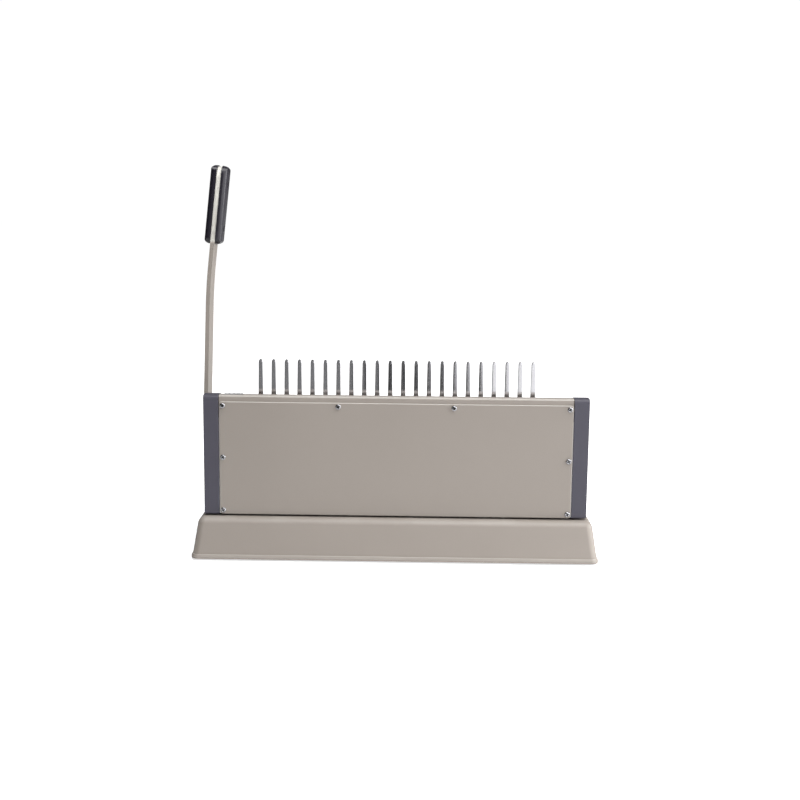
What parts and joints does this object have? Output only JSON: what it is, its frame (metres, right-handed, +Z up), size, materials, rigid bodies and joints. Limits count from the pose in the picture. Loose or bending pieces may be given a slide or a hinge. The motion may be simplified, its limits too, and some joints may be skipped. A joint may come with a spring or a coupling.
{
  "type": "comb binding machine",
  "caption": "Manual comb binding machine with a side lever, hole punch, comb opener, ring tines and a flared base with a chip drawer.",
  "frame": {"origin": "centre of the base's footprint on the surface the machine stands on", "axes": "+Z up; -Y towards the operator (front); +X towards the operator's right, the side with the lever"},
  "size_m": [0.448, 0.29, 0.4284],
  "materials": {
    "beige_paint": "semi_gloss",
    "steel": "brushed",
    "bright_steel": "polished",
    "dark_steel": "machined",
    "cap_plastic": "moulded",
    "grip_plastic": "moulded",
    "black_plastic": "moulded",
    "pale_plastic": "moulded",
    "bronze": "machined",
    "rubber": "matte"
  },
  "bodies": {
    "machine": {"base_shell": "beige_paint", "bottom_plate": "steel", "rubber_feet": "rubber", "bottom_plate_screws": "bright_steel", "drawer_rails": "steel", "paper_table": "steel", "left_side_frame": "steel", "right_side_frame": "steel", "frame_bolts": "dark_steel", "tie_rods": "steel", "left_end_cap": "cap_plastic", "right_end_cap": "cap_plastic", "end_cap_screws": "bright_steel", "top_cover": "beige_paint", "opener_deck": "beige_paint", "front_cover": "beige_paint", "front_cover_screws": "bright_steel", "rear_panel": "beige_paint", "rear_panel_screws": "bright_steel", "ring_gauge": "steel", "die_plate": "dark_steel", "guide_plate": "steel", "die_spacers": "dark_steel", "die_bolts": "dark_steel", "guide_rods": "bright_steel", "shaft_bushes": "bronze", "comb_tines": "bright_steel", "comb_rail": "steel", "comb_rail_screws": "bright_steel", "opener_rails": "pale_plastic", "return_springs": "bright_steel"},
    "lever": {"drive_shaft": "bright_steel", "punch_cams": "dark_steel", "opener_cranks": "steel", "crank_pins": "bright_steel", "shaft_collars": "dark_steel", "handle_hub": "black_plastic", "handle_arm": "beige_paint", "handle_bolt": "bright_steel", "inner_grip": "grip_plastic", "outer_grip": "grip_plastic", "grip_screws": "bright_steel"},
    "carriage": {"punch_bar": "dark_steel", "pin_retainer": "steel", "punch_pins": "bright_steel", "carriage_bushes": "bronze", "cam_pads": "dark_steel"},
    "opener": {"hook_plate": "steel", "opener_hooks": "bright_steel", "opener_ears": "steel"},
    "depth_stop": {"depth_bar": "steel"},
    "depth_dial": {"depth_rod": "bright_steel", "depth_cams": "pale_plastic", "depth_knob": "black_plastic"},
    "edge_slide": {"edge_guide": "black_plastic", "guide_nut": "steel", "guide_knob": "black_plastic"},
    "drawer": {"chip_drawer": "cap_plastic", "drawer_face": "beige_paint"}
  },
  "joints": [
    {"name": "handle_swing", "type": "hinge", "parent": "machine", "child": "lever", "pos_m": [0, 0.05161, 0.113], "axis": [1, 0, 0], "range_deg": [0, 62], "stiffness_Nm_per_rad": 2.5, "springref_deg": -28.65},
    {"name": "punch_stroke", "type": "slide", "parent": "machine", "child": "carriage", "axis": [0, 0, -1], "range_m": [0, 0.01001], "deforming": ["return_springs"]},
    {"name": "opener_slide", "type": "slide", "parent": "machine", "child": "opener", "axis": [0, -1, 0], "range_m": [0, 0.02449]},
    {"name": "depth_turn", "type": "hinge", "parent": "machine", "child": "depth_dial", "pos_m": [0, 0.07837, 0.064], "axis": [1, 0, 0], "range_deg": [0, 180]},
    {"name": "depth_slide", "type": "slide", "parent": "machine", "child": "depth_stop", "axis": [0, -1, 0], "range_m": [0, 0.003]},
    {"name": "edge_guide_slide", "type": "slide", "parent": "machine", "child": "edge_slide", "axis": [1, 0, 0], "range_m": [0, 0.014]},
    {"name": "drawer_slide", "type": "slide", "parent": "machine", "child": "drawer", "axis": [0, -1, 0], "range_m": [0, 0.12]}
  ],
  "couplings": [
    {"joint": "punch_stroke", "follows": "handle_swing", "m_per_rad": 0.0092413},
    {"joint": "opener_slide", "follows": "handle_swing", "m_per_rad": 0.021894},
    {"joint": "depth_turn", "follows": "depth_slide", "rad_per_m": 1047.2}
  ]
}
